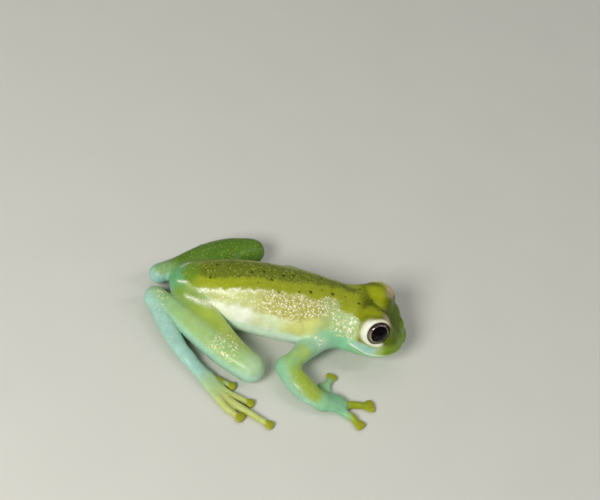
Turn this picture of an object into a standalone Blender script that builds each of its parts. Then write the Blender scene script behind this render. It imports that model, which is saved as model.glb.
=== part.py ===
"""A glass frog at life size, sitting with its right foot stretched out and its head raised.

Lengths are in millimetres up to the last step, where every mesh is scaled to metres. +X runs from the
vent to the snout, +Y to the frog's left, +Z up. The frog rests on the level z = 0, and the origin is
the middle of its whole length and width on that level.
"""

from math import cos, pi, radians, sin

import bmesh
import bpy
from mathutils import Matrix, Vector

# Driving dimensions, in millimetres
MM = 0.001
GAP = 0.28  # between pieces that meet face to face
EYE_GAP = 0.2
MIDDLE_X = -0.89  # of the whole frog's length, which becomes the origin
MIDDLE_Y = -3.03
LID_CENTRE = Vector((9.0, 2.1, 5.45))  # of the left eye's bulge, and mirrored for the right one
LID_RADIUS = 1.9
EYE_AXIS = Vector((0.36, 0.87, 0.33)).normalized()  # the way the eye looks
EYE_DEPTH = 0.65  # how far the eyeball's centre lies outside the bulge's
EYE_RADIUS = 1.5
RIM_DEPTH = 1.36  # where the lids' thick rim runs round the eye, along the same axis
RIM_RADIUS = 1.42
RIM_THICKNESS = 0.18
NECK_X = 6.7
HEAD_TURN = -3.0  # degrees, to the frog's right
JAW_ANGLE_X = 7.5
MOUTH_BACK_Z = 2.75  # the mouth's line at the jaw's angle and at the snout
MOUTH_FRONT_Z = 3.2
SNOUT_X = 12.95

# Sections of trunk and head: distance forward, half width, lowest, widest and highest level
BODY_SECTIONS = (
    (-12.6, 0.9, 1.7, 2.4, 3.2),
    (-12.0, 1.5, 1.1, 2.3, 3.8),
    (-11.0, 2.15, 0.6, 2.2, 4.5),
    (-9.5, 2.8, 0.15, 2.2, 5.3),
    (-7.5, 3.4, -0.15, 2.4, 6.0),
    (-5.0, 3.9, -0.15, 2.7, 6.45),
    (-2.0, 4.25, 0.1, 2.9, 6.65),
    (1.0, 4.35, 0.4, 3.1, 6.75),
    (3.5, 4.15, 0.75, 3.2, 6.75),
    (5.5, 3.85, 1.1, 3.2, 6.8),
    (7.0, 3.85, 1.35, 3.15, 6.85),
    (8.5, 4.0, 1.55, 3.1, 6.6),
    (10.0, 3.95, 1.75, 3.1, 6.0),
    (11.2, 3.6, 1.95, 3.15, 5.4),
    (12.0, 3.05, 2.2, 3.2, 4.85),
    (12.6, 2.3, 2.5, 3.4, 4.4),
    (SNOUT_X, 1.2, 3.1, 3.6, 4.05),
)
BODY_POWER = 2.3  # of the superellipse that each section follows
BODY_SIDES = 30
BODY_STEP = 0.75

# Limbs: each station is a point on the bone's line, with the half width and half height there
RIGHT_LIMBS = {
    "upper_arm": (
        ((4.0, -1.9, 3.0), 1.7, 1.35),
        ((3.3, -3.7, 2.7), 1.5, 1.25),
        ((2.1, -5.7, 2.2), 1.05, 1.05),
        ((0.9, -7.5, 1.75), 1.0, 1.0),
    ),
    "forearm": (
        ((0.75, -7.7, 1.7), 1.05, 1.0),
        ((1.9, -9.0, 1.55), 1.3, 1.15),
        ((3.4, -9.9, 1.25), 1.25, 1.05),
        ((5.1, -10.3, 0.85), 0.95, 0.75),
    ),
    "thigh": (
        ((-10.8, -1.7, 2.1), 1.5, 1.5),
        ((-9.2, -3.2, 2.1), 1.6, 1.55),
        ((-6.2, -6.2, 1.75), 1.5, 1.4),
        ((-3.3, -9.0, 1.75), 1.25, 1.2),
    ),
    "shank": (
        ((-3.05, -9.35, 1.85), 1.4, 1.35),
        ((-5.75, -8.0, 1.95), 1.65, 1.5),
        ((-9.1, -5.85, 2.0), 1.5, 1.45),
        ((-12.2, -3.5, 1.85), 1.15, 1.15),
        ((-14.05, -2.2, 1.7), 1.0, 1.0),
    ),
    "tarsus": (
        ((-14.05, -2.5, 1.45), 0.95, 0.9),
        ((-12.2, -5.6, 1.2), 0.97, 0.88),
        ((-10.8, -7.7, 1.0), 0.85, 0.75),
        ((-9.5, -9.1, 0.85), 0.72, 0.6),
    ),
}
LEFT_LIMBS = {
    "upper_arm": (
        ((4.0, 1.9, 3.0), 1.7, 1.35),
        ((3.0, 3.5, 2.8), 1.45, 1.2),
        ((1.4, 4.8, 2.4), 1.05, 1.05),
        ((0.1, 5.6, 2.2), 1.0, 1.0),
    ),
    "forearm": (
        ((-0.1, 5.75, 2.15), 1.0, 0.95),
        ((1.6, 6.0, 1.9), 1.2, 1.05),
        ((3.4, 6.2, 1.4), 1.15, 0.95),
        ((5.1, 6.2, 0.9), 0.9, 0.7),
    ),
    "thigh": (
        ((-10.8, 1.5, 2.3), 1.5, 1.5),
        ((-9.4, 2.8, 2.2), 1.5, 1.4),
        ((-6.9, 5.4, 2.1), 1.3, 1.15),
        ((-4.5, 7.9, 2.15), 1.15, 1.1),
    ),
    "shank": (
        ((-4.2, 8.2, 2.2), 1.25, 1.15),
        ((-6.6, 7.1, 2.5), 1.4, 1.2),
        ((-9.4, 5.0, 2.6), 1.3, 1.2),
        ((-12.4, 2.4, 2.15), 1.05, 1.0),
        ((-14.05, 1.05, 1.85), 1.0, 1.0),
    ),
    "tarsus": (
        ((-14.0, 1.5, 1.45), 0.85, 0.8),
        ((-11.4, 5.0, 1.05), 0.8, 0.7),
        ((-9.4, 7.5, 0.85), 0.68, 0.58),
    ),
}
LIMB_SIDES = 16
LIMB_STEPS = 3  # rings between two stations
CAP_RINGS = 3

# Hands and feet lie in their own plane: u along the palm and v to the inner side, from the wrist or ankle.
# A palm's station is (u, v, height, half width, half height); a digit is its line in (u, v), then the half
# width of the digit and of its disc.
HAND_PALM = (
    (-0.3, -0.1, 0.85, 0.95, 0.75),
    (1.2, 0.1, 0.65, 1.25, 0.6),
    (2.4, 0.0, 0.45, 1.1, 0.4),
)
HAND_DIGITS = (
    (((0.5, 0.7), (0.5, 1.7), (0.75, 2.8)), 0.34, 0.48),
    (((0.9, 0.7), (1.22, 2.5), (2.25, 4.1)), 0.4, 0.66),
    (((1.9, 0.1), (4.0, 0.08), (5.85, 0.05)), 0.43, 0.84),
    (((1.6, -0.6), (2.95, -1.55), (3.85, -2.8)), 0.4, 0.68),
)
HAND_WEBS = ((0, 1, 0.75), (1, 2, 0.15), (2, 3, 0.45))
FOOT_PALM = (
    (-0.3, 0.0, 0.85, 0.68, 0.58),
    (2.0, -0.3, 0.6, 0.85, 0.5),
    (4.2, -0.6, 0.42, 1.05, 0.38),
    (5.6, -0.85, 0.36, 0.95, 0.3),
)
FOOT_DIGITS = (
    (((1.9, 0.15), (2.8, 0.5), (3.7, 0.75)), 0.29, 0.42),
    (((3.0, 0.0), (4.1, 0.65), (5.35, 1.2)), 0.32, 0.6),
    (((4.4, -0.35), (6.0, 0.07), (8.05, 0.85)), 0.34, 0.62),
    (((4.8, -0.9), (8.0, -0.55), (11.15, 0.0)), 0.36, 0.62),
    (((4.8, -1.4), (6.7, -1.85), (8.5, -1.65)), 0.35, 0.66),
)
FOOT_WEBS = ((0, 1, 0.35), (1, 2, 0.4), (2, 3, 0.45), (3, 4, 0.7))
DIGIT_HEIGHT = 0.34  # of a digit's line over the ground
DIGIT_HALF_HEIGHT = 0.36
DISC_HEIGHT = 0.25
DISC_HALF_HEIGHT = 0.27
WEB_THICKNESS = 0.5
DIGIT_SIDES = 9
PALM_SIDES = 12

# Where each hand and foot lies: wrist or ankle, the palm's heading in degrees, side of the inner digits
HANDS = {"right": ((5.2, -10.3), 16.7, 1), "left": ((5.2, 6.25), -10.0, -1)}
FEET = {"right": ((-9.45, -9.1), -31.3, 1), "left": ((-9.3, 7.6), -11.0, -1)}

COLOURS = {
    "back": (0.36, 0.50, 0.06, 1.0),
    "limb": (0.42, 0.62, 0.30, 1.0),
    "shin": (0.38, 0.64, 0.50, 1.0),
    "digit": (0.62, 0.60, 0.10, 1.0),
    "jaw": (0.50, 0.68, 0.42, 1.0),
    "eye": (0.05, 0.04, 0.04, 1.0),
}


def collection(name, hidden=False):
    made = bpy.data.collections.new(name)
    bpy.context.scene.collection.children.link(made)
    made.hide_render = hidden
    return made


def add(name, bm, group, smooth=True):
    """An object of this bmesh, with its faces turned out."""
    bmesh.ops.recalc_face_normals(bm, faces=bm.faces)
    mesh = bpy.data.meshes.new(name)
    bm.to_mesh(mesh)
    bm.free()
    if smooth:
        mesh.shade_smooth()
    made = bpy.data.objects.new(name, mesh)
    group.objects.link(made)
    return made


def between(stations, steps):
    """The stations with Catmull-Rom points between them, each a tuple of numbers."""
    rows = [stations[0], *stations, stations[-1]]
    made = []
    for i in range(1, len(rows) - 2):
        before, a, b, after = rows[i - 1 : i + 3]
        for step in range(steps):
            t = step / steps
            made.append(
                tuple(
                    0.5
                    * (
                        2 * q
                        + (r - p) * t
                        + (2 * p - 5 * q + 4 * r - s) * t * t
                        + (3 * q - p - 3 * r + s) * t**3
                    )
                    for p, q, r, s in zip(before, a, b, after)
                )
            )
    return made + [tuple(stations[-1])]


def skin_rings(name, rings, group):
    """A closed loft through rings of equal length, with a fan to the middle of each end ring."""
    bm = bmesh.new()
    rows = [[bm.verts.new(p) for p in ring] for ring in rings]
    count = len(rows[0])
    for low, high in zip(rows, rows[1:]):
        for i in range(count):
            j = (i + 1) % count
            bm.faces.new((low[i], low[j], high[j], high[i]))
    for row in (rows[0], rows[-1]):
        middle = bm.verts.new(sum((v.co for v in row), Vector()) / count)
        for i in range(count):
            bm.faces.new((row[i], row[(i + 1) % count], middle))
    return add(name, bm, group)


def power(value, exponent):
    return abs(value) ** exponent * (1 if value >= 0 else -1)


def body_ring(section, grow):
    """One section of trunk or head, as a ring of points."""
    x, half, low, widest, high = section
    ring = []
    for i in range(BODY_SIDES):
        angle = 2 * pi * i / BODY_SIDES
        across = power(cos(angle), 2 / BODY_POWER)
        up = power(sin(angle), 2 / BODY_POWER)
        rise = high - widest + grow if up > 0 else widest - low + grow
        ring.append(Vector((x, (half + grow) * across, widest + rise * up)))
    return ring


def body_loft(name, group, grow=0.0):
    first, last = BODY_SECTIONS[0], BODY_SECTIONS[-1]
    steps = max(1, round((last[0] - first[0]) / len(BODY_SECTIONS) / BODY_STEP))
    sections = between(BODY_SECTIONS, steps)
    rings = [body_ring(section, grow) for section in sections]
    for end, way in ((first, -1), (last, 1)):
        middle = Vector((end[0], 0, end[3]))
        edge = body_ring(end, grow)
        for share, out in ((0.75, 0.55), (0.35, 0.85)):
            small = [middle + (p - middle) * share for p in edge]
            for p in small:
                p.x += way * out * (0.35 + grow)
            rings = [small, *rings] if way < 0 else [*rings, small]
    return skin_rings(name, rings, group)


def limb_loft(name, stations, group, grow=0.0, sides=LIMB_SIDES, steps=LIMB_STEPS, caps=CAP_RINGS):
    """A limb of elliptical section along its stations, with round ends."""
    rows = between([(*point, wide, high) for point, wide, high in stations], steps)
    points = [Vector(row[:3]) for row in rows]
    sizes = [(row[3] + grow, row[4] + grow) for row in rows]
    ways = [
        (points[min(i + 1, len(points) - 1)] - points[max(i - 1, 0)]).normalized()
        for i in range(len(points))
    ]
    capped = []
    for end, way in ((0, -1), (len(points) - 1, 1)):
        for cap in range(1, caps + 1):
            turn = pi / 2 * cap / (caps + 0.6)
            reach = way * ways[end] * sin(turn) * min(sizes[end])
            shrunk = [size * cos(turn) for size in sizes[end]]
            capped.append((points[end] + reach, ways[end], shrunk))
    rows = [
        *reversed(capped[:caps]),
        *zip(points, ways, sizes),
        *capped[caps:],
    ]
    rings = []
    for centre, way, (wide, high) in rows:
        side = Vector((0, 0, 1)).cross(way).normalized()
        up = way.cross(side)
        rings.append(
            [
                centre
                + side * wide * cos(2 * pi * i / sides)
                + up * high * sin(2 * pi * i / sides)
                for i in range(sides)
            ]
        )
    return skin_rings(name, rings, group)


def ball(name, centre, radii, group, turn=None, segments=24, rows=14):
    """An ellipsoid, turned so that its own X axis points along turn."""
    bm = bmesh.new()
    bmesh.ops.create_uvsphere(bm, u_segments=segments, v_segments=rows, radius=1.0)
    placed = Matrix.Translation(centre)
    if turn is not None:
        placed = placed @ Vector(turn).to_track_quat("X", "Z").to_matrix().to_4x4()
    bm.transform(placed @ Matrix.Diagonal((*radii, 1.0)))
    return add(name, bm, group)


def ring(name, centre, radius, thickness, group, axis, segments=26, sides=7):
    """A torus round the axis."""
    bm = bmesh.new()
    rows = []
    for i in range(segments):
        angle = 2 * pi * i / segments
        out = Vector((0, cos(angle), sin(angle)))
        row = []
        for j in range(sides):
            turn = 2 * pi * j / sides
            spot = out * (radius + thickness * cos(turn)) + Vector((thickness * sin(turn), 0, 0))
            row.append(bm.verts.new(spot))
        rows.append(row)
    for i in range(segments):
        for j in range(sides):
            a, b = rows[i], rows[(i + 1) % segments]
            k = (j + 1) % sides
            bm.faces.new((a[j], a[k], b[k], b[j]))
    quat = Vector(axis).to_track_quat("X", "Z")
    bm.transform(Matrix.Translation(centre) @ quat.to_matrix().to_4x4())
    return add(name, bm, group)


def slab(name, low, high, group, matrix=None):
    """A box between two corners, for cutting."""
    bm = bmesh.new()
    bmesh.ops.create_cube(bm, size=1.0)
    size = Vector(high) - Vector(low)
    bm.transform(Matrix.Translation((Vector(high) + Vector(low)) / 2) @ Matrix.Diagonal((*size, 1.0)))
    if matrix:
        bm.transform(matrix)
    return add(name, bm, group, smooth=False)


def outline_plate(name, outline, low, high, group):
    """A flat plate: a closed outline in (x, y), from one level to another."""
    bm = bmesh.new()
    face = bm.faces.new([bm.verts.new((x, y, low)) for x, y in outline])
    raised = bmesh.ops.extrude_face_region(bm, geom=[face])
    for item in raised["geom"]:
        if isinstance(item, bmesh.types.BMVert):
            item.co.z = high
    return add(name, bm, group)


def apply_modifiers(node):
    graph = bpy.context.evaluated_depsgraph_get()
    done = bpy.data.meshes.new_from_object(node.evaluated_get(graph))
    old = node.data
    node.modifiers.clear()
    node.data = done
    bpy.data.meshes.remove(old)


def combine(node, operation, others):
    """One Boolean of the node with a collection that holds the others, which are then removed."""
    group = bpy.data.collections.new("operands")
    bpy.context.scene.collection.children.link(group)
    for other in others:
        group.objects.link(other)
    step = node.modifiers.new("combine", "BOOLEAN")
    step.operation = operation
    step.operand_type = "COLLECTION"
    step.collection = group
    step.solver = "EXACT"
    apply_modifiers(node)
    for other in others:
        bpy.data.objects.remove(other)
    bpy.data.collections.remove(group)


def keep_above(node, point, normal):
    """Cuts the node by a plane, and keeps and closes the side that the normal points to."""
    bm = bmesh.new()
    bm.from_mesh(node.data)
    bmesh.ops.bisect_plane(
        bm,
        geom=[*bm.verts, *bm.edges, *bm.faces],
        dist=1e-5,
        plane_co=point,
        plane_no=normal,
        clear_inner=True,
    )
    rim = [edge for edge in bm.edges if edge.is_boundary]
    bmesh.ops.holes_fill(bm, edges=rim, sides=0)
    bm.to_mesh(node.data)
    bm.free()


def keep_largest(node):
    """Leaves the largest closed surface of the node."""
    bm = bmesh.new()
    bm.from_mesh(node.data)
    bmesh.ops.remove_doubles(bm, verts=bm.verts, dist=1e-4)
    islands = []
    seen = set()
    for start in bm.verts:
        if start in seen:
            continue
        island, front = [], [start]
        seen.add(start)
        while front:
            vert = front.pop()
            island.append(vert)
            for edge in vert.link_edges:
                other = edge.other_vert(vert)
                if other not in seen:
                    seen.add(other)
                    front.append(other)
        islands.append(island)
    largest = max(islands, key=len)
    bmesh.ops.delete(bm, geom=[v for i in islands if i is not largest for v in i], context="VERTS")
    bm.to_mesh(node.data)
    bm.free()


def mirrored(vector, side):
    return Vector((vector[0], vector[1] * side, vector[2]))


def tilted_mouth():
    """A matrix that lays a level box along the mouth's line."""
    slope = (MOUTH_FRONT_Z - MOUTH_BACK_Z) / (SNOUT_X - JAW_ANGLE_X)
    pivot = Vector((JAW_ANGLE_X, 0, MOUTH_BACK_Z))
    shear = Matrix(((1, 0, 0, 0), (0, 1, 0, 0), (slope, 0, 1, 0), (0, 0, 0, 1)))
    return Matrix.Translation(pivot) @ shear


def make_head(parts, work):
    """Head and lower jaw, parted along the mouth, and the torso behind the neck."""
    torso = body_loft("torso", parts)
    head = torso.copy()
    head.data = torso.data.copy()
    head.name = "head"
    parts.objects.link(head)
    turn = Matrix.Rotation(radians(HEAD_TURN), 4, "Z")
    turn = Matrix.Translation((NECK_X, 0, 0)) @ turn @ Matrix.Translation((-NECK_X, 0, 0))
    forward = turn.to_3x3() @ Vector((1, 0, 0))
    keep_above(torso, Vector((NECK_X, 0, 0)) - forward * GAP / 2, -forward)
    keep_above(torso, (0, 0, 0), (0, 0, 1))

    grown = []
    for side in (1, -1):
        centre = mirrored(LID_CENTRE, side)
        axis = mirrored(EYE_AXIS, side)
        grown.append(ball("lid", centre, [LID_RADIUS] * 3, work, axis, 22, 13))
        grown.append(ring("rim", centre + axis * RIM_DEPTH, RIM_RADIUS, RIM_THICKNESS, work, axis))
        # The brow carries the lid back into the head.
        brow = centre + Vector((-1.0, -0.3 * side, -0.45))
        grown.append(ball("brow", brow, (2.2, 1.6, 1.75), work, None, 18, 11))
        # A low cushion fills the side of the snout in front of the eye.
        grown.append(ball("cushion", (10.8, 2.35 * side, 4.4), (1.1, 1.0, 0.95), work, None, 16, 10))
        # Nostrils stand on low swellings near the tip of the snout.
        grown.append(ball("nostril_swelling", (12.1, 1.05 * side, 4.4), (0.45, 0.4, 0.36), work, None, 14, 8))
        # The eardrum is a shallow disc behind the eye.
        eardrum = (7.6, 3.55 * side, 4.35)
        grown.append(ball("eardrum", eardrum, (0.2, 0.5, 0.5), work, (0.05, side, 0.4), 16, 8))
    combine(head, "UNION", grown)
    keep_above(head, (NECK_X + GAP / 2, 0, 0), (1, 0, 0))

    mouth = tilted_mouth()
    jaw = head.copy()
    jaw.data = head.data.copy()
    jaw.name = "lower_jaw"
    parts.objects.link(jaw)
    far = 12.0
    chin = slab("chin", (GAP, -far, -far), (far, far, -GAP / 2), work, mouth)
    combine(jaw, "INTERSECT", [chin])
    holes = [slab("chin", (0, -far, -far), (far, far, GAP / 2), work, mouth)]
    eyes = []
    for side, name in ((1, "eye_left"), (-1, "eye_right")):
        axis = mirrored(EYE_AXIS, side)
        centre = mirrored(LID_CENTRE, side) + axis * EYE_DEPTH
        holes.append(ball("socket", centre, [EYE_RADIUS + EYE_GAP] * 3, work, axis))
        holes.append(ball("nostril", (12.42, 1.15 * side, 4.55), (0.28, 0.18, 0.18), work, (1, side, 0.4), 10, 6))
        eyes.append(ball(name, centre, [EYE_RADIUS] * 3, parts, axis))
    combine(head, "DIFFERENCE", holes)
    for node in (head, jaw, *eyes):
        keep_largest(node)
        node.data.transform(turn)


def make_limbs(side_name, limbs, parts, work):
    """The five long pieces of one side, each cut clear of the piece that it grows from."""
    made = {key: limb_loft(f"{key}_{side_name}", limbs[key], parts) for key in limbs}

    def grown(key):
        return limb_loft("grown", limbs[key], work, GAP)

    combine(made["upper_arm"], "DIFFERENCE", [body_loft("grown", work, GAP), grown("forearm")])
    combine(made["thigh"], "DIFFERENCE", [body_loft("grown", work, GAP), grown("shank")])
    combine(made["shank"], "DIFFERENCE", [body_loft("grown", work, GAP)])
    combine(made["tarsus"], "DIFFERENCE", [grown("shank")])
    for node in made.values():
        keep_largest(node)
        keep_above(node, (0, 0, 0), (0, 0, 1))


def digit_stations(line, half_width, disc, place):
    """Stations of one digit: an even tube, then the round disc at its tip."""
    rows = []
    for u, v in line[:-1]:
        rows.append((place(u, v, DIGIT_HEIGHT), half_width, DIGIT_HALF_HEIGHT))
    tip = Vector(line[-1])
    way = (tip - Vector(line[-2])).normalized()
    for back, width, height in (
        (disc * 1.35, half_width * 0.92, DIGIT_HALF_HEIGHT * 0.9),
        (disc * 0.6, disc * 0.9, DISC_HALF_HEIGHT),
        (disc * 0.1, disc, DISC_HALF_HEIGHT),
    ):
        spot = tip - way * back
        rows.append((place(spot.x, spot.y, DISC_HEIGHT), width, height))
    return rows


def make_paw(name, spot, palm, digits, webs, trunk, parts, work):
    """A hand or foot: palm, digits with discs and the webs between them, fused into one body."""
    (x, y), heading, inner = spot
    along = Vector((cos(radians(heading)), sin(radians(heading)), 0))
    across = Vector((-along.y, along.x, 0)) * inner

    def place(u, v, height):
        return tuple(Vector((x, y, height)) + along * u + across * v)

    rows = [(place(u, v, height), wide, high) for u, v, height, wide, high in palm]
    paw = limb_loft(name, rows, parts, 0.0, PALM_SIDES)
    pieces = []
    for line, half_width, disc in digits:
        stations = digit_stations(line, half_width, disc, place)
        pieces.append(limb_loft("digit", stations, work, 0.0, DIGIT_SIDES, 2, 2))
    for first, second, share in webs:
        outline = []
        for line, order in ((digits[first][0], 1), (digits[second][0], -1)):
            root, middle, tip = (Vector(p) for p in line)
            reach = middle.lerp(tip, share * 2 - 1) if share > 0.5 else root.lerp(middle, share * 2)
            outline += [root, reach][::order]
        valley = (outline[1] + outline[2]) / 2
        valley = valley.lerp((outline[0] + outline[3]) / 2, 0.3)
        outline.insert(2, valley)
        flat = [place(p.x, p.y, 0)[:2] for p in outline]
        pieces.append(outline_plate("web", flat, 0.08, 0.08 + WEB_THICKNESS, work))
    combine(paw, "UNION", pieces)
    combine(paw, "DIFFERENCE", [limb_loft("grown", trunk, work, GAP)])
    keep_largest(paw)
    keep_above(paw, (0, 0, 0), (0, 0, 1))
    return paw


def finish_materials(node):
    """Each node's own material, by what it is."""
    name = node.name
    kind = "limb"
    if name.startswith("eye"):
        kind = "eye"
    elif name in ("head", "torso"):
        kind = "back"
    elif name == "lower_jaw":
        kind = "jaw"
    elif name.startswith(("hand", "foot")):
        kind = "digit"
    elif name.startswith("tarsus"):
        kind = "shin"
    material = bpy.data.materials.new(name)
    material.use_nodes = True
    shader = material.node_tree.nodes["Principled BSDF"]
    shader.inputs["Base Color"].default_value = COLOURS[kind]
    shader.inputs["Roughness"].default_value = 0.05 if kind == "eye" else 0.3
    shader.inputs["Metallic"].default_value = 0.0
    node.data.materials.clear()
    node.data.materials.append(material)


def main():
    for old in list(bpy.data.objects):
        bpy.data.objects.remove(old)
    parts = collection("glass_frog")
    work = collection("work", hidden=True)
    make_head(parts, work)
    for side, limbs in (("right", RIGHT_LIMBS), ("left", LEFT_LIMBS)):
        make_limbs(side, limbs, parts, work)
        for name, spots, palm, digits, webs, trunk in (
            ("hand", HANDS, HAND_PALM, HAND_DIGITS, HAND_WEBS, "forearm"),
            ("foot", FEET, FOOT_PALM, FOOT_DIGITS, FOOT_WEBS, "tarsus"),
        ):
            make_paw(f"{name}_{side}", spots[side], palm, digits, webs, limbs[trunk], parts, work)
    to_metres = Matrix.Scale(MM, 4) @ Matrix.Translation((-MIDDLE_X, -MIDDLE_Y, 0))
    for node in parts.objects:
        finish_materials(node)
        node.data.transform(to_metres)
        node.data.set_sharp_from_angle(angle=radians(35))


main()
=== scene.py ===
# A glass frog at life size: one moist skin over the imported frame, with its eyes and a plain studio.
# Lengths are in millimetres in the frog's own frame (+X to the snout, +Y to its left, +Z up) until a
# mesh is made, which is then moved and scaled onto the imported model.
import math
from functools import partial

import bpy
import numpy as np
import openvdb
from mathutils import Matrix, Vector, noise


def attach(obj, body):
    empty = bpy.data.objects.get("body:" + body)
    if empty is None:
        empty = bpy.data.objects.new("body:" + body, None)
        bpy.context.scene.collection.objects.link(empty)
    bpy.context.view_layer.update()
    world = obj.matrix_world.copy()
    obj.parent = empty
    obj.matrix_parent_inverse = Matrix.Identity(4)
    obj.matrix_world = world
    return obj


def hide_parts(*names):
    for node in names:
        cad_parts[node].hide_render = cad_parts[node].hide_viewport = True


print("frog: loading the frame")
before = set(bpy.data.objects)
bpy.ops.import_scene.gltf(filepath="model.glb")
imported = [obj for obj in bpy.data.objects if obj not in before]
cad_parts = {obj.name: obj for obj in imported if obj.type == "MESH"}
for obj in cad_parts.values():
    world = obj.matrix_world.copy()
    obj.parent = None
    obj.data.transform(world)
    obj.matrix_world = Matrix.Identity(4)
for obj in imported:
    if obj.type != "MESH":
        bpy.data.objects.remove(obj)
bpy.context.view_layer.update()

layout = {
    "middle": (-0.89, -3.03),  # of the frog's length and width, which is the model's origin
    "voxel": 0.09,  # the skin's grain, about a pixel of the picture
    "reach": 14,  # voxels that each distance field knows on both sides of its surface
    "low": (-16.2, -17.0, -1.4),
    "high": (14.4, 11.2, 9.0),
    "crease": 0.05,  # fillet where two forms only meet
    "rest": 0.01,  # the level that nothing goes below
}
flesh = [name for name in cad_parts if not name.startswith("eye")]


def toLinear(hexCode):
    # an sRGB hex colour as linear red, green, blue and alpha
    made = []
    for i in (1, 3, 5):
        part = int(hexCode[i : i + 2], 16) / 255
        made.append(part / 12.92 if part <= 0.04045 else ((part + 0.055) / 1.055) ** 2.4)
    return (*made, 1.0)


def toModel(points):
    # millimetres of the frog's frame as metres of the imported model
    made = np.array(points, dtype=float).reshape(-1, 3)
    return (made - (*layout["middle"], 0)) * 0.001


def fade(start, end, value):
    # rises softly from 0 at the start to 1 at the end
    t = np.clip((value - start) / (end - start), 0.0, 1.0)
    return t * t * (3.0 - 2.0 * t)


def bell(middle, width, value):
    # 1 at the middle, falling softly to 0 on both sides
    return np.exp(-(((value - middle) / width) ** 2))


def between(stations, steps):
    # Catmull-Rom points through the stations
    rows = np.array([stations[0], *stations, stations[-1]], dtype=float)
    made = []
    for i in range(1, len(rows) - 2):
        p, q, r, s = rows[i - 1 : i + 3]
        for step in range(steps):
            t = step / steps
            bend = (2 * p - 5 * q + 4 * r - s) * t * t + (3 * q - p - 3 * r + s) * t**3
            made.append(0.5 * (2 * q + (r - p) * t + bend))
    return np.array([*made, rows[-1]])


def ringMesh(rings):
    # a closed loft through rings of equal length, as points and triangles
    rings = np.array(rings)
    count, sides = rings.shape[:2]
    points = np.vstack([rings.reshape(-1, 3), rings[0].mean(0)[None], rings[-1].mean(0)[None]])
    faces = []
    for i in range(count - 1):
        for j in range(sides):
            k = (j + 1) % sides
            a, b, c, d = i * sides + j, i * sides + k, (i + 1) * sides + k, (i + 1) * sides + j
            faces += [(a, b, c), (a, c, d)]
    last = (count - 1) * sides
    for j in range(sides):
        k = (j + 1) % sides
        faces += [(count * sides, k, j), (count * sides + 1, last + j, last + k)]
    return points, np.array(faces)


# Trunk and head: distance forward, half width, lowest, widest and highest level
bodyForm = {
    "sections": (
        (-12.6, 0.9, 1.7, 2.4, 3.2), (-12.0, 1.5, 1.1, 2.3, 3.8),
        (-11.0, 2.15, 0.6, 2.2, 4.5), (-9.5, 2.8, 0.15, 2.2, 5.3),
        (-7.5, 3.4, -0.15, 2.4, 6.0), (-5.0, 3.9, -0.15, 2.7, 6.45),
        (-2.0, 4.25, 0.1, 2.9, 6.65), (1.0, 4.35, 0.4, 3.1, 6.75),
        (3.5, 4.15, 0.75, 3.2, 6.75), (5.5, 3.85, 1.1, 3.2, 6.8),
        (7.0, 3.85, 1.35, 3.15, 6.85), (8.5, 4.0, 1.55, 3.1, 6.6),
        (10.0, 3.95, 1.75, 3.1, 6.0), (11.2, 3.6, 1.95, 3.15, 5.4),
        (12.0, 3.05, 2.2, 3.2, 4.85), (12.6, 2.3, 2.5, 3.4, 4.4),
        (12.95, 1.2, 3.1, 3.6, 4.05),
    ),
    "squareness": 2.3,  # of the superellipse that each section follows
    "sides": 72,
    "steps": 8,  # rings from one section to the next
    "caps": ((0.75, 0.1925), (0.35, 0.2975)),  # share of the end section, and how far beyond it
    "neck": 6.7,
    "neckReach": 1.2,  # on both sides of the neck, where the head's turn grows
    "headTurn": -3.0,  # degrees, to the frog's right
    "jawAngle": 7.5,
    "snout": 12.95,
    "mouthBack": 2.75,
    "mouthFront": 3.2,
    "mouthCurve": (9.6, 6.2, 0.9),  # where the line starts to rise, its corner, and the rise
    "lips": ((0.0, 0.11, 0.2), (0.3, 0.17, -0.07), (-0.28, 0.16, -0.04)),  # level, width and depth
    "mouthFade": (7.3, 8.4),  # where the line starts at the back, and where it is full
    "tuck": (0.28, -0.45, (8.0, 10.0)),  # of the lower jaw inwards, full at this level, growing forward
    "swells": (  # middle, radii, facing and fillet, for the left side
        ((8.0, 1.8, 5.0), (2.2, 1.6, 1.75), None, 0.9),  # brow
        ((10.8, 2.35, 4.4), (1.1, 1.0, 0.95), None, 0.9),  # side of the snout
        ((12.1, 1.05, 4.38), (0.38, 0.34, 0.3), None, 0.6),  # round the nostril
        ((7.6, 3.55, 4.35), (0.2, 0.5, 0.5), (0.05, 1, 0.4), 0.25),  # eardrum
    ),
    "nostril": ((12.42, 1.15, 4.52), (0.2, 0.12, 0.09), (1, 1, 0.4), 0.12),
}
# The eyes: bulge, rim and ball share one axis
eyeForm = {
    "bulge": (9.0, 2.1, 5.45),
    "bulgeRadius": 1.9,
    "bulgeFillet": 0.7,
    "axis": (0.36, 0.87, 0.33),
    "depth": 0.65,  # of the ball's middle, out from the bulge's
    "radius": 1.5,
    "gap": 0.045,  # between ball and skin
    "edge": 0.14,
    "socket": (0.25, 1.55, 0.1),  # out from the ball's middle, radius and softness
    "rimDepth": 1.36,
    "rimRadius": 1.42,
    "rimThickness": 0.18,
    "rimFillet": 0.45,
}


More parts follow.
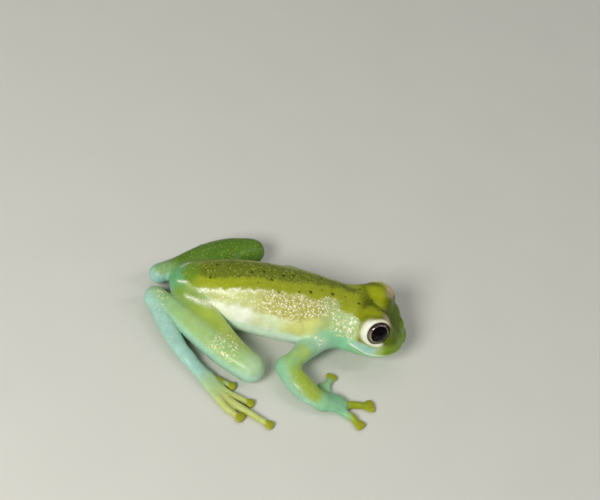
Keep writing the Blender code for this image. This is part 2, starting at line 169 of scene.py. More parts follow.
def bodyRings():
    power = 2 / bodyForm["squareness"]
    angle = np.linspace(0, 2 * math.pi, bodyForm["sides"], endpoint=False)
    across = np.sign(np.cos(angle)) * np.abs(np.cos(angle)) ** power
    up = np.sign(np.sin(angle)) * np.abs(np.sin(angle)) ** power
    rings = []
    for x, half, low, widest, high in between(bodyForm["sections"], bodyForm["steps"]):
        rise = np.where(up > 0, high - widest, widest - low)
        rings.append(np.stack([np.full_like(up, x), half * across, widest + rise * up], axis=1))
    for end, way in ((0, -1), (-1, 1)):
        x, widest = bodyForm["sections"][end][0], bodyForm["sections"][end][3]
        middle = np.array([x, 0, widest])
        edge = rings[end]
        for share, out in bodyForm["caps"]:
            small = middle + (edge - middle) * share
            small[:, 0] += way * out
            rings = [small, *rings] if way < 0 else [*rings, small]
    return rings


def sweepRings(stations, sides=36, steps=8, caps=7):
    # a limb of elliptical section with round ends
    rows = between([(*point, wide, high) for point, wide, high in stations], steps)
    points, sizes = rows[:, :3], rows[:, 3:]
    ways = np.vstack([points[1:], points[-1:]]) - np.vstack([points[:1], points[:-1]])
    ways /= np.linalg.norm(ways, axis=1)[:, None]
    row = list(zip(points, ways, sizes))
    for end, way in ((0, -1), (-1, 1)):
        more = []
        for cap in range(1, caps + 1):
            turn = math.pi / 2 * cap / (caps + 0.3)
            reach = way * ways[end] * math.sin(turn) * sizes[end].min()
            more.append((points[end] + reach, ways[end], sizes[end] * math.cos(turn)))
        row = [*reversed(more), *row] if way < 0 else [*row, *more]
    angle = np.linspace(0, 2 * math.pi, sides, endpoint=False)
    rings = []
    for centre, way, (wide, high) in row:
        side = np.cross((0, 0, 1), way)
        side /= np.linalg.norm(side)
        up = np.cross(way, side)
        rings.append(centre + np.outer(np.cos(angle) * wide, side) + np.outer(np.sin(angle) * high, up))
    return rings


def facing(axis):
    # the turn that brings the X axis onto the given one
    return np.array(Vector(axis).to_track_quat("X", "Z").to_matrix())


def roundSteps(count):
    return np.arange(count) * 2 * math.pi / count


def ballMesh(centre, radii, axis=None, sides=40):
    # an ellipsoid whose X axis faces along the given one
    turn = np.eye(3) if axis is None else facing(axis)
    lat = (np.arange(1, sides // 2)[:, None] * 2 / sides - 0.5) * math.pi
    lon = roundSteps(sides)[None]
    rings = np.stack([np.sin(lat) + 0 * lon, np.cos(lat) * np.cos(lon), np.cos(lat) * np.sin(lon)], axis=2)
    return ringMesh(rings * radii @ turn.T + centre)


def torusMesh(centre, radius, thickness, axis, sides=64, tube=16):
    # a round rim about the axis
    angle, roll = roundSteps(sides)[:, None], roundSteps(tube)[None]
    out = radius + thickness * np.cos(roll)
    forward = thickness * np.sin(roll) + 0 * angle
    points = np.stack([forward, out * np.cos(angle), out * np.sin(angle)], axis=2)
    faces = []
    for i in range(sides):
        for j in range(tube):
            a, b = i * tube + j, i * tube + (j + 1) % tube
            c, d = (i + 1) % sides * tube + (j + 1) % tube, (i + 1) % sides * tube + j
            faces += [(a, c, b), (a, d, c)]
    return points.reshape(-1, 3) @ facing(axis).T + centre, np.array(faces)


# Limbs: each station is a point on the bone's line, with half width and half height there
limbForm = {
    "upper_arm_right": (
        ((4.0, -1.9, 3.0), 1.7, 1.35), ((3.3, -3.7, 2.7), 1.5, 1.25),
        ((2.1, -5.7, 2.2), 1.05, 1.05), ((0.9, -7.5, 1.75), 1.0, 1.0),
    ),
    "forearm_right": (
        ((0.75, -7.7, 1.7), 1.05, 1.0), ((1.9, -9.0, 1.55), 1.3, 1.15),
        ((3.4, -9.9, 1.25), 1.25, 1.05), ((5.1, -10.3, 0.85), 0.95, 0.75),
    ),
    "thigh_right": (
        ((-10.8, -1.7, 2.1), 1.5, 1.5), ((-9.2, -3.2, 2.1), 1.6, 1.55),
        ((-6.2, -6.2, 1.75), 1.5, 1.4), ((-3.3, -9.0, 1.75), 1.25, 1.2),
    ),
    "shank_right": (
        ((-3.05, -9.35, 1.85), 1.4, 1.35), ((-5.75, -8.0, 1.95), 1.65, 1.5),
        ((-9.1, -5.85, 2.0), 1.5, 1.45), ((-12.2, -3.5, 1.85), 1.15, 1.15),
        ((-14.05, -2.2, 1.7), 1.0, 1.0),
    ),
    "tarsus_right": (
        ((-14.05, -2.5, 1.45), 0.95, 0.9), ((-12.2, -5.6, 1.2), 0.97, 0.88),
        ((-10.8, -7.7, 1.0), 0.85, 0.75), ((-9.5, -9.1, 0.85), 0.72, 0.6),
    ),
    "upper_arm_left": (
        ((4.0, 1.9, 3.0), 1.7, 1.35), ((3.0, 3.5, 2.8), 1.45, 1.2),
        ((1.4, 4.8, 2.4), 1.05, 1.05), ((0.1, 5.6, 2.2), 1.0, 1.0),
    ),
    "forearm_left": (
        ((-0.1, 5.75, 2.15), 1.0, 0.95), ((1.6, 6.0, 1.9), 1.2, 1.05),
        ((3.4, 6.2, 1.4), 1.15, 0.95), ((5.1, 6.2, 0.9), 0.9, 0.7),
    ),
    "thigh_left": (
        ((-10.8, 1.5, 2.3), 1.5, 1.5), ((-9.4, 2.8, 2.2), 1.5, 1.4),
        ((-6.9, 5.4, 2.1), 1.3, 1.15), ((-4.5, 7.9, 2.15), 1.15, 1.1),
    ),
    "shank_left": (
        ((-4.2, 8.2, 2.2), 1.25, 1.15), ((-6.6, 7.1, 2.5), 1.4, 1.2),
        ((-9.4, 5.0, 2.6), 1.3, 1.2), ((-12.4, 2.4, 2.15), 1.05, 1.0),
        ((-14.05, 1.05, 1.85), 1.0, 1.0),
    ),
    "tarsus_left": (
        ((-14.0, 1.5, 1.45), 0.85, 0.8), ((-11.4, 5.0, 1.05), 0.8, 0.7),
        ((-9.4, 7.5, 0.85), 0.68, 0.58),
    ),
}
# Hands and feet in their own plane: u along the palm and v to the inner side
pawForm = {
    "handPalm": ((-0.3, -0.1, 0.85, 0.95, 0.75), (1.2, 0.1, 0.65, 1.25, 0.6), (2.4, 0.0, 0.45, 1.1, 0.4)),
    "handDigits": (
        (((0.5, 0.7), (0.5, 1.7), (0.75, 2.8)), 0.34, 0.48),
        (((0.9, 0.7), (1.22, 2.5), (2.25, 4.1)), 0.4, 0.66),
        (((1.9, 0.1), (4.0, 0.08), (5.85, 0.05)), 0.43, 0.84),
        (((1.6, -0.6), (2.95, -1.55), (3.85, -2.8)), 0.4, 0.68),
    ),
    "handWebs": ((0, 1, 0.75), (1, 2, 0.15), (2, 3, 0.45)),
    "footPalm": (
        (-0.3, 0.0, 0.85, 0.68, 0.58), (2.0, -0.3, 0.6, 0.85, 0.5),
        (4.2, -0.6, 0.42, 1.05, 0.38), (5.6, -0.85, 0.36, 0.95, 0.3),
    ),
    "footDigits": (
        (((1.9, 0.15), (2.8, 0.5), (3.7, 0.75)), 0.29, 0.42),
        (((3.0, 0.0), (4.1, 0.65), (5.35, 1.2)), 0.32, 0.6),
        (((4.4, -0.35), (6.0, 0.07), (8.05, 0.85)), 0.34, 0.62),
        (((4.8, -0.9), (8.0, -0.55), (11.15, 0.0)), 0.36, 0.62),
        (((4.8, -1.4), (6.7, -1.85), (8.5, -1.65)), 0.35, 0.66),
    ),
    "footWebs": ((0, 1, 0.35), (1, 2, 0.4), (2, 3, 0.45), (3, 4, 0.7)),
    "digitHeight": 0.34,  # of its middle, as for the disc
    "digitHalf": 0.36,
    "discHeight": 0.25,
    "discHalf": 0.27,
    "tipHeight": 0.3,  # of a disc's colour
    "webThickness": 0.42,
    "webLevel": 0.02,
    "valley": 0.3,  # how far a web's edge is drawn back to the palm
    "fillets": {"digit": 0.3, "web": 0.22, "wrist": 0.55},
    "places": {
        "hand_right": ((5.2, -10.3), 16.7, 1),
        "hand_left": ((5.2, 6.25), -10.0, -1),
        "foot_right": ((-9.45, -9.1), -31.3, 1),
        "foot_left": ((-9.3, 7.6), -11.0, -1),
    },
}

print("frog: growing the skin's distance field")
voxel = layout["voxel"]
low = np.round(np.array(layout["low"]) / voxel).astype(int)
high = np.round(np.array(layout["high"]) / voxel).astype(int)
far = layout["reach"] * voxel
gridShape = tuple(high - low)


def distanceField(mesh):
    # signed distances round one closed mesh, in a window of the grid round it
    points, faces = mesh
    grid = openvdb.FloatGrid.createLevelSetFromPolygons(
        np.ascontiguousarray(points, dtype=np.float32),
        triangles=np.ascontiguousarray(faces, dtype=np.uint32),
        transform=openvdb.createLinearTransform(voxelSize=voxel),
        halfWidth=layout["reach"],
    )
    first = np.maximum(np.floor(points.min(0) / voxel).astype(int) - layout["reach"] - 2, low)
    last = np.minimum(np.ceil(points.max(0) / voxel).astype(int) + layout["reach"] + 2, high)
    window = np.full(tuple(last - first), far, dtype=np.float32)
    grid.copyToArray(window, ijk=tuple(int(i) for i in first))
    return window, first


def places(field):
    # the X, Y and Z of each voxel of a field, as arrays that broadcast
    window, first = field
    axes = [(np.arange(window.shape[i]) + first[i]) * voxel for i in range(3)]
    return axes[0][:, None, None], axes[1][None, :, None], axes[2][None, None, :]


def away(field, point):
    x, y, z = places(field)
    return np.sqrt((x - point[0]) ** 2 + (y - point[1]) ** 2 + (z - point[2]) ** 2)


def region(field):
    # the part of the whole grid that a field's window covers
    window, first = field
    return tuple(slice(a, a + n) for a, n in zip(first - low, window.shape))


def meltIn(skin, field, softness, way=1):
    # unites the skin with a field, or cuts it out where way is -1, with a fillet this wide in mm
    here = region(field)
    old = way * skin[here]
    share = np.maximum(softness - np.abs(old - field[0]), 0.0) / softness
    skin[here] = way * (np.minimum(old, field[0]) - share * share * softness * 0.25)


def turned(points):
    # the head's turn about the neck
    angle = math.radians(bodyForm["headTurn"])
    made = np.array(points, dtype=float)
    x = made[..., 0] - bodyForm["neck"]
    y = made[..., 1].copy()
    made[..., 0] = bodyForm["neck"] + x * math.cos(angle) - y * math.sin(angle)
    made[..., 1] = x * math.sin(angle) + y * math.cos(angle)
    return made


def turnedHead(points):
    # the same turn, which starts softly at the neck
    neck, reach = bodyForm["neck"], bodyForm["neckReach"]
    share = fade(neck - reach, neck + reach, points[..., 0])[..., None]
    return points * (1 - share) + turned(points) * share


def mirrored(point, side):
    return np.array([point[0], point[1] * side, point[2]])


def swell(side, middle, radii, axis, softness, way=1):
    # one ball on one side of the head, melted in or cut out
    points, faces = ballMesh(mirrored(middle, side), radii, axis and mirrored(axis, side))
    meltIn(skin, distanceField((turned(points), faces)), softness, way)


fields = {}  # the parts' own fields, kept for colouring
skin = np.full(gridShape, far, dtype=np.float32)
body = distanceField(ringMesh(turnedHead(np.array(bodyRings()))))
fields["body"] = body
meltIn(skin, body, layout["crease"])

neck = np.array([bodyForm["neck"], 0, 0])
eyeSides = {"eye_left": 1, "eye_right": -1}
eyeAxes, eyeCentres, bulges = {}, {}, {}
for name, side in eyeSides.items():
    centre = mirrored(eyeForm["bulge"], side)
    axis = mirrored(eyeForm["axis"], side)
    axis /= np.linalg.norm(axis)
    swell(side, eyeForm["bulge"], [eyeForm["bulgeRadius"]] * 3, None, eyeForm["bulgeFillet"])
    for row in bodyForm["swells"]:
        swell(side, *row)
    eyeAxes[name] = turned(axis + neck) - neck
    eyeCentres[name] = turned(centre + axis * eyeForm["depth"])
    bulges[name] = turned(centre)

for name, side in eyeSides.items():
    centre, axis = eyeCentres[name], eyeAxes[name]
    out, radius, softness = eyeForm["socket"]
    meltIn(skin, distanceField(ballMesh(centre + axis * out, [radius] * 3)), softness, -1)
    rim = bulges[name] + axis * eyeForm["rimDepth"]
    rimMesh = torusMesh(rim, eyeForm["rimRadius"], eyeForm["rimThickness"], axis)
    meltIn(skin, distanceField(rimMesh), eyeForm["rimFillet"])
    radius = eyeForm["radius"] + eyeForm["gap"]
    meltIn(skin, distanceField(ballMesh(centre, [radius] * 3)), eyeForm["edge"], -1)
    swell(side, *bodyForm["nostril"], -1)


def mouthHeight(x):
    # the level of the closed mouth's line
    slope = (bodyForm["mouthFront"] - bodyForm["mouthBack"]) / (bodyForm["snout"] - bodyForm["jawAngle"])
    return bodyForm["mouthBack"] + (x - bodyForm["jawAngle"]) * slope


def mouthRise(x):
    # the line's upward curve to the corner of the mouth
    start, corner, rise = bodyForm["mouthCurve"]
    return rise * fade(start, corner, x)


# The mouth: a fine closed line with a low ridge of lip on both sides
x, y, z = places(body)
height = z - mouthHeight(x) - mouthRise(x)
line = sum(depth * bell(level, wide, height) for level, wide, depth in bodyForm["lips"])
line = line * fade(*bodyForm["mouthFade"], x)
inward, full, grows = bodyForm["tuck"]
tucked = inward * fade(0.0, full, height) * fade(*grows, x)
skin[region(body)] += (line + tucked).astype(np.float32)

# Limbs: wide fillets at the joints, and only a crease where skin rests on skin
meltForm = {
    "parts": {  # fillet at the joint itself, then where the part only rests on its neighbour
        "thigh": (0.05, 0.05),  # this and the upper arm get theirs with the trunk
        "shank": (1.0, 0.75),
        "tarsus": (0.8, 0.12),
        "upper_arm": (0.05, 0.05),
        "forearm": (0.9, 0.9),
    },
    "reach": (1.6, 3.2),  # from the joint, over which its fillet narrows
    "roots": {"thigh": (2.0, 3.6), "upper_arm": (2.4, 4.2)},  # the same for hip and shoulder
    "trunk": (1.02, 0.12),  # the fillet on the trunk there, and where a limb only rests on it
}
for side in ("right", "left"):
    limbs = np.full(gridShape, far, dtype=np.float32), low
    for part, (near, rest) in meltForm["parts"].items():
        name = f"{part}_{side}"
        fields[name] = distanceField(ringMesh(sweepRings(limbForm[name])))
        share = fade(*meltForm["reach"], away(fields[name], limbForm[name][0][0]))
        meltIn(limbs[0], fields[name], (near + (rest - near) * share).astype(np.float32))
    share = 1.0
    for part, reach in meltForm["roots"].items():
        share = np.minimum(share, fade(*reach, away(limbs, limbForm[f"{part}_{side}"][0][0])))
    near, rest = meltForm["trunk"]
    meltIn(skin, limbs, (near + (rest - near) * share).astype(np.float32))


def pawPlace(name):
    # turns a place on a hand or foot into one on the frog
    (x, y), heading, inner = pawForm["places"][name]
    along = np.array([math.cos(math.radians(heading)), math.sin(math.radians(heading)), 0])
    across = np.array([-along[1], along[0], 0]) * inner
    return lambda u, v, height: np.array([x, y, height]) + along * u + across * v


for name in pawForm["places"]:
    kind = name.split("_")[0]
    place = pawPlace(name)
    palm = [(place(u, v, h), wide, half) for u, v, h, wide, half in pawForm[kind + "Palm"]]
    paw = np.full(gridShape, far, dtype=np.float32)
    meltIn(paw, distanceField(ringMesh(sweepRings(palm))), layout["crease"])
    digits = pawForm[kind + "Digits"]
    tips = []
    for line, half, disc in digits:
        rows = [(place(u, v, pawForm["digitHeight"]), half, pawForm["digitHalf"]) for u, v in line[:-1]]
        tip = np.array(line[-1])
        way = tip - np.array(line[-2])
        way /= np.linalg.norm(way)
        for back, wide, tall in (  # a slight waist, then the round disc
            (disc * 1.35, half * 0.92, pawForm["digitHalf"] * 0.9),
            (disc * 0.6, disc * 0.9, pawForm["discHalf"]),
            (disc * 0.1, disc, pawForm["discHalf"]),
        ):
            u, v = tip - way * back
            rows.append((place(u, v, pawForm["discHeight"]), wide, tall))
        meltIn(paw, distanceField(ringMesh(sweepRings(rows, sides=28))), pawForm["fillets"]["digit"])
        tips.append(place(*tip, pawForm["tipHeight"]))
    for one, two, share in pawForm[kind + "Webs"]:
        # a web's outline: out along one digit, in to the valley and back along the next
        edge = []
        for digit, order in ((digits[one][0], 1), (digits[two][0], -1)):
            root, middle, tip = (np.array(p) for p in digit)
            start, way = (middle, tip - middle) if share > 0.5 else (root, middle - root)
            edge += [root, start + way * (share * 2 - (share > 0.5))][::order]
        valley = (edge[1] + edge[2]) / 2
        valley = valley + ((edge[0] + edge[3]) / 2 - valley) * pawForm["valley"]
        edge.insert(2, valley)
        levels = (pawForm["webLevel"], pawForm["webLevel"] + pawForm["webThickness"])
        rings = [[place(*p, level) for p in edge] for level in levels]
        meltIn(paw, distanceField(ringMesh(rings)), pawForm["fillets"]["web"])
    fields[name] = paw, low
    fields[name + "_tips"] = tips
    meltIn(skin, (paw, low), pawForm["fillets"]["wrist"])

# Everything rests on one level
skin = np.maximum(skin, layout["rest"] - places((skin, low))[2]).astype(np.float32)

print("frog: meshing the skin")
grid = openvdb.FloatGrid(far)
grid.transform = openvdb.createLinearTransform(voxelSize=voxel)
grid.copyFromArray(skin, ijk=tuple(int(i) for i in low))
points, quads = grid.convertToQuads(isovalue=0.0)
print("frog: skin", len(points), "points", len(quads), "faces")

# Colours of the frog's zones, kept on the skin point by point
tints = {
    # the back's darker band colour on this line is painted shade
    "back": "#989f0a", "backShadeBand": "#626e06", "rump": "#6f8f1e",
    "vent": "#66aa70", "gold": "#b6b35c", "goldCream": "#c0c57c",
    "cream": "#f2f3e0", "creamFront": "#dbe3b6", "yellow": "#cfd07a",
    # the palest colour on this line, for the belly edge, is pale skin made paler still as painted light
    "bellyLit": "#d6ead0", "neck": "#a9b674", "aqua": "#86c89a",
    "speck": "#b0cb8c", "headTop": "#566102", "lid": "#949b08",
    "lidRing": "#eef0d6", "lidEdge": "#a8a558", "lidPatch": "#ae9974",
    "snout": "#556906", "lip": "#9cc6b6", "lipFront": "#739018",
    "lipLine": "#e6f0d2", "jaw": "#8bc08a", "thighTop": "#a8bd42",
    "shankTop": "#9bb972", "armTop": "#98ac38", "shoulderEnd": "#a9d0b2",
    "shoulderTop": "#a0ba60", "limbLow": "#a4cdb0", "armRear": "#90bc9e",
    # on this line the arm's front yellow is painted light and the far leg's two greens are painted shade
    "armFrontLit": "#bccb4e", "limbFarShade": "#527809", "limbFarLowShade": "#5f8e42",
    "kneeEnd": "#b4d3c4", "heel": "#99c0b2", "heelTop": "#8fb478",
    "palm": "#86bd92", "sole": "#a9c48e", "toe": "#b6bd6a",
    "finger": "#959f0c", "disc": "#989a0a",
}
# Edges of the trunk's zones in degrees from the spine, each at distances forward
zones = {
    "spine": ((-12, 0), (-9, 4), (-6, 8), (-3, 11), (1, 12), (4, 10), (6.5, 4), (8, 0)),
    # drift and the half widths under middle place the dark back band, which is painted shade: it leans onto
    # the far side, away from the light
    "drift": ((-6, 0), (-1.7, 3), (1.2, 6), (3.2, 10), (5, 14), (6.4, 10), (8, 0)),
    "middle": (
        (-11.5, 16), (-9, 28), (-6.5, 24), (-5, 20), (-1.7, 18),
        (1.2, 14), (3.2, 11), (5, 9), (6.4, 7), (7.6, 0),
    ),
    "back": (
        (-12.3, 38), (-9.8, 53), (-7.4, 47), (-4.5, 40), (-2.2, 36), (-0.5, 33.5),
        (2.3, 32), (3.6, 24), (4.4, 22), (5, 37), (6.1, 39), (7.2, 44),
    ),
    "line": ((-10.4, 67), (-9.2, 63), (-7.7, 59), (-5.8, 53), (-4.2, 49), (-2, 45)),
    "lowLine": ((-11.4, 71), (-10.6, 71), (-9.7, 72), (-8.7, 74), (-7.9, 76), (-6.8, 83), (-6, 90)),
    "goldLow": ((-4.2, 66), (-1.9, 74), (0, 76), (1.8, 64), (3, 58), (4, 52)),
    "spots": (  # middles of the dark spots on the back and head, with their radii
        (-9.1, -1.2, 0.17), (-5.0, 0.0, 0.2), (-3.7, 0.45, 0.17), (-2.8, -0.5, 0.2), (-1.6, 0.55, 0.2),
        (-0.5, 1.0, 0.18), (0.25, -1.3, 0.15), (1.5, -0.9, 0.21), (3.9, -0.35, 0.22), (5.2, 1.45, 0.18),
        (6.85, 1.4, 0.17), (6.8, -0.8, 0.19), (8.9, -1.4, 0.15), (-7.2, 1.3, 0.15), (-6.2, -0.9, 0.11),
        (2.6, 1.9, 0.19), (0.4, 2.6, 0.16), (-3.2, 2.4, 0.18), (-8.6, 0.7, 0.13), (4.4, 2.7, 0.16),
        (8.3, 0.3, 0.13), (-1.9, -1.9, 0.1), (2.7, -0.2, 0.11), (-4.2, -1.3, 0.1), (5.3, -0.3, 0.12),
    ),
    "blend": 0.22,  # mm over which one part's colours pass into the next
    "waver": (1.7, 5.0),  # waves per mm, and degrees, by which an edge wanders
}


def readField(field, points):
    # a field's distance at each point, by the nearest eight voxels
    window, first = field
    place = points / voxel - first
    base = np.floor(place).astype(int)
    inside = np.all((base >= 0) & (base < np.array(window.shape) - 1), axis=1)
    made = np.full(len(points), far, dtype=np.float32)
    at, part = base[inside], (place - base)[inside]
    total = 0
    for corner in range(8):
        step = np.array([corner & 1, corner >> 1 & 1, corner >> 2 & 1])
        weight = np.prod(np.where(step, part, 1 - part), axis=1)
        total = total + weight * window[tuple((at + step).T)]
    made[inside] = total
    return made


def alongLimb(stations, points):
    # how far along a limb's line each point lies, from 0 to 1
    line = np.array([row[0] for row in stations])
    lengths = np.linalg.norm(np.diff(line, axis=0), axis=1)
    best = np.full(len(points), 1e9)
    made = np.zeros(len(points))
    done = 0.0
    for i, length in enumerate(lengths):
        way = (line[i + 1] - line[i]) / length
        t = np.clip((points - line[i]) @ way, 0, length)
        gap = np.linalg.norm(points - line[i] - t[:, None] * way, axis=1)
        nearer = gap < best
        best[nearer] = gap[nearer]
        made[nearer] = (done + t[nearer]) / lengths.sum()
        done += length
    return made


def over(tint, *rows):
    # lays named colours over a tint one after another, each with its share from 0 to 1
    for name, share in rows:
        share = np.clip(share, 0, 1)[..., None]
        tint = tint * (1 - share) + np.array(toLinear(tints[name])[:3]) * share
    return tint


print("frog: colouring the skin")
points = np.array(points, dtype=float)
normals = np.zeros_like(points)
corners = points[quads]
faceNormals = np.cross(corners[:, 2] - corners[:, 0], corners[:, 3] - corners[:, 1])
for corner in range(4):
    np.add.at(normals, quads[:, corner], faceNormals)
normals /= np.linalg.norm(normals, axis=1)[:, None] + 1e-9
if (normals * (points - points.mean(0))).sum() < 0:
    normals = -normals
    quads = quads[:, ::-1]

limbNames = [f"{part}_{side}" for side in ("right", "left") for part in meltForm["parts"]]
names = ["body", *limbNames, *pawForm["places"]]
distances = np.stack([readField(fields[name], points) for name in names])
onSkull = fade(6.5, 7.5, points[:, 0]) * (np.abs(points[:, 1]) < 5.6) * fade(1.2, 1.6, points[:, 2])
distances[0] -= 3 * onSkull  # the bulges of the eyes lie beyond the trunk's own field
weights = np.exp(-(distances - distances.min(0)) / zones["blend"])
weights /= weights.sum(0)
shares = dict(zip(names, weights))

x, y, z = points.T
up = normals[:, 2]
form = np.array(bodyForm["sections"])
half, bottom, widest, top = (np.interp(x, form[:, 0], form[:, i]) for i in range(1, 5))
rise = np.where(z > widest, (z - widest) / (top - widest), (z - widest) / (widest - bottom))


def zone(name):
    return np.interp(x, *np.array(zones[name], dtype=float).T)


# Degrees from the spine down to the belly, with edges that waver as pigment does
pitch, amount = zones["waver"]
waver = np.array([noise.fractal(p * pitch, 1.0, 2.1, 4) for p in map(Vector, points.tolist())])
turnedBy = np.degrees(np.arctan2(-y / half, rise)) + zone("spine")
fromSpine = np.abs(turnedBy)
around = fromSpine + amount * waver
pastMiddle = np.abs(turnedBy + zone("drift")) + amount * waver - zone("middle")
pastBack, pastLine, pastGold = (around - zone(name) for name in ("back", "line", "goldLow"))
front = fade(-4.6, -2.6, x)
flankShare = fade(-2, 3, pastBack)
bare = np.zeros_like(points)

# Trunk: each row is a colour and its share, by millimetres forward and degrees past an edge
# the dark band down the back and over its far side is painted shade, where the back turns away from the light
tint = over(bare, ("back", 1), ("backShadeBand", fade(4, -4, pastMiddle) * fade(7.6, 6.4, x) * 0.85))
flank = over(
    bare,
    ("goldCream", 1),
    ("gold", front),
    ("cream", fade(62, 78, around) * (1 - front)),
    ("creamFront", fade(68, 78, around) * front),
    ("yellow", fade(-1.6, 0.4, x) * fade(-4, 6, pastGold)),
    # the belly edge: pale skin, painted lighter still as painted light where it turns down into shade
    ("bellyLit", fade(92, 104, around)),
    ("neck", fade(-8.4, -9.8, x) * fade(2, -2, pastLine)),
    ("sole", fade(-8.2, -9.4, x) * fade(-1, 2, pastLine)),
)
tint = over(
    tint * (1 - flankShare[:, None]) + flank * flankShare[:, None],
    ("neck", fade(2.2, 3.8, x) * fade(16, 32, around) * fade(7.6, 6.8, x) * flankShare),
    ("speck", fade(4.0, 4.8, x) * fade(38, 48, around) * fade(7.6, 6.8, x)),
    ("aqua", fade(2.2, 4.6, x) * fade(66, 84, around) * fade(8.0, 7.0, x)),
    ("rump", fade(-9.6, -11.2, x) * fade(4, -4, pastBack)),
    ("vent", fade(-11.0, -11.9, x + 0.012 * (45 - around))),
)

# Head: dark olive above, lemon lids with a cream ring behind the eye, a pale lip over a white edge
onHead = fade(6.4, 7.8, x)
lipHeight = z - mouthHeight(x)
lineHeight = lipHeight - mouthRise(x)
above = np.maximum(fade(62, 50, fromSpine), fade(7.0, 7.8, x) * fade(1.2, 1.9, lipHeight))
cheek = fade(6.6, 7.6, x) * fade(1.9, 1.2, lipHeight)
tint = over(
    tint,
    ("headTop", onHead * above * (1 - 0.35 * fade(7.4, 6.4, x))),
    ("snout", fade(9.6, 11.2, x) * fade(0.9, 1.5, lipHeight)),
    ("lip", cheek * fade(11.2, 9.0, x)),
    ("lipFront", cheek * fade(9.3, 11.2, x)),
    ("aqua", fade(5.4, 6.4, x) * fade(7.8, 6.6, x) * fade(1.3, 0.6, lipHeight) * 0.8),
    ("lipLine", fade(6.5, 7.2, x) * bell(0.22, 0.13, lineHeight)),
    ("jaw", fade(6.6, 7.4, x) * fade(0.02, -0.06, lineHeight)),
)
lidLook = {  # degrees from the eye's axis
    "ring": 45,
    "behind": {"eye_right": 17, "eye_left": 10},  # more behind the eye, less where the lid covers it
    "higher": 2,
    "patch": (0.6, 0.03, 0.8),  # direction of the flesh-brown patch from the bulge's middle
}
for name, side in eyeSides.items():
    gap = points - bulges[name]
    distance = np.linalg.norm(gap, axis=1)
    out = gap @ eyeAxes[name]
    sideways = gap - out[:, None] * eyeAxes[name]
    ring = np.linalg.norm(sideways, axis=1)
    angle = np.degrees(np.arctan2(ring, out))
    behind = -sideways[:, 0] / (ring + 1e-6)
    higher = sideways[:, 2] / (ring + 1e-6)
    inner = fade(0.9, -0.3, gap[:, 1] * side) * fade(1.4, 0.0, gap[:, 0])
    # the cream ring is widest behind the eye, thin below and gone in front
    limit = lidLook["ring"] + lidLook["behind"][name] * fade(0.25, 0.95, behind)
    past = angle - limit - lidLook["higher"] * fade(0.2, 0.9, higher)
    there = fade(2.6, 2.3, distance) * fade(-0.7, -0.3, behind)
    patch = np.linalg.norm(gap / distance[:, None] - mirrored(lidLook["patch"], side), axis=1)
    tint = over(
        tint,
        ("lid", fade(2.4, 2.05, distance) * fade(5.7, 6.4, z) * inner),
        ("lidEdge", fade(14, 4, past) * there * 0.55),
        ("lidRing", fade(7, -7, past) * there * (1 - 0.2 * fade(0.6, 1.0, higher))),
        ("lidPatch", fade(0.52, 0.18, patch) * fade(2.4, 2.1, distance)),
    )

# Limbs: yellow-green above and aqua where the thin skin turns under
limbLook = {  # upper colour, lower colour, how far the lower one comes up
    "thigh": ("thighTop", "limbLow", 0.8),
    "shank": ("shankTop", "limbLow", 1.0),
    "tarsus": ("heel", "limbLow", 0.4),
    "upper_arm": ("shoulderTop", "limbLow", 0.9),
    "forearm": ("armTop", "limbLow", 1.0),
    # the left thigh and shank are painted darker, as painted shade for the far side of the frog away from the
    # light
    "thigh_left": ("limbFarShade", "limbFarLowShade", 0.8),
    "shank_left": ("limbFarShade", "limbFarLowShade", 1.0),
}
under = fade(0.58, 0.0, up)
skinTint = tint * shares["body"][:, None]
for name in limbNames:
    part, side = name.rsplit("_", 1)
    right = side == "right"
    upper, lower, amount = limbLook.get(name, limbLook[part])
    t = alongLimb(limbForm[name], points)
    rear = -0.85 * normals[:, 0] + (-0.35 if right else 0.35) * normals[:, 1]
    innerHalf = fade(-0.5, 0.9, (x + 9.1) * 0.545 + (y + 5.85) * 0.84)
    heelStart = 0.6 if right else 0.78
    early = {  # each part's own marks above
        "thigh": [("rump", fade(0.4, 0.08, t) * 0.8)],
        "shank": [
            ("thighTop", innerHalf * fade(0.08, 0.3, t) * right),
            ("heelTop", fade(heelStart, heelStart + 0.2, t) * 0.85),
        ],
    }
    late = {  # and those that lie over its lower colour too
        "shank": [
            ("heel", fade(0.8, 0.97, t) * fade(0.9, 0.45, up)),
            ("kneeEnd", fade(0.14, 0.0, t) * 0.45 * right),
        ],
        "upper_arm": [
            ("armRear", fade(0.15, 0.8, rear) * 0.8),
            ("armRear", fade(0.66, 0.52, t) * 0.8),
            ("shoulderEnd", fade(0.5, 0.36, t) * 0.8),
            ("aqua", fade(0.65, 1.0, t) * 0.4),
        ],
        "forearm": [
            ("armRear", fade(0.15, 0.8, rear) * 0.8),
            ("aqua", fade(0.34, 0.0, t) * 0.4),
            # painted light: the forearm's front side, which faces away from the key, is brightened
            ("armFrontLit", fade(0.1, 0.6, -rear) * fade(0.8, 0.5, t) * 0.7),
            ("palm", fade(0.86, 1.0, t) * 0.8),
        ],
    }
    made = over(bare, (upper, 1), *early.get(part, ()), (lower, under * amount), *late.get(part, ()))
    skinTint += made * shares[name][:, None]
for name, ((px, py), heading, inner) in pawForm["places"].items():
    part = name.split("_")[0]
    angle = math.radians(heading)
    u = (x - px) * math.cos(angle) + (y - py) * math.sin(angle)
    v = ((y - py) * math.cos(angle) - (x - px) * math.sin(angle)) * inner
    tips = fields[name + "_tips"][part == "hand" :]  # the innermost finger's disc stays pale
    nearTip = np.min([np.linalg.norm(points - tip, axis=1) for tip in tips], axis=0)
    rows = {
        "hand": [
            ("palm", 1),
            ("sole", fade(1.0, 1.8, v) * 0.5),
            ("finger", fade(2.1, 3.2, u) * fade(1.5, 0.7, v)),
        ],
        "foot": [("heel", 1), ("sole", fade(1.4, 3.8, u)), ("toe", fade(3.4, 6.2, u))],
    }
    skinTint += over(bare, *rows[part], ("disc", fade(1.0, 0.6, nearTip))) * shares[name][:, None]

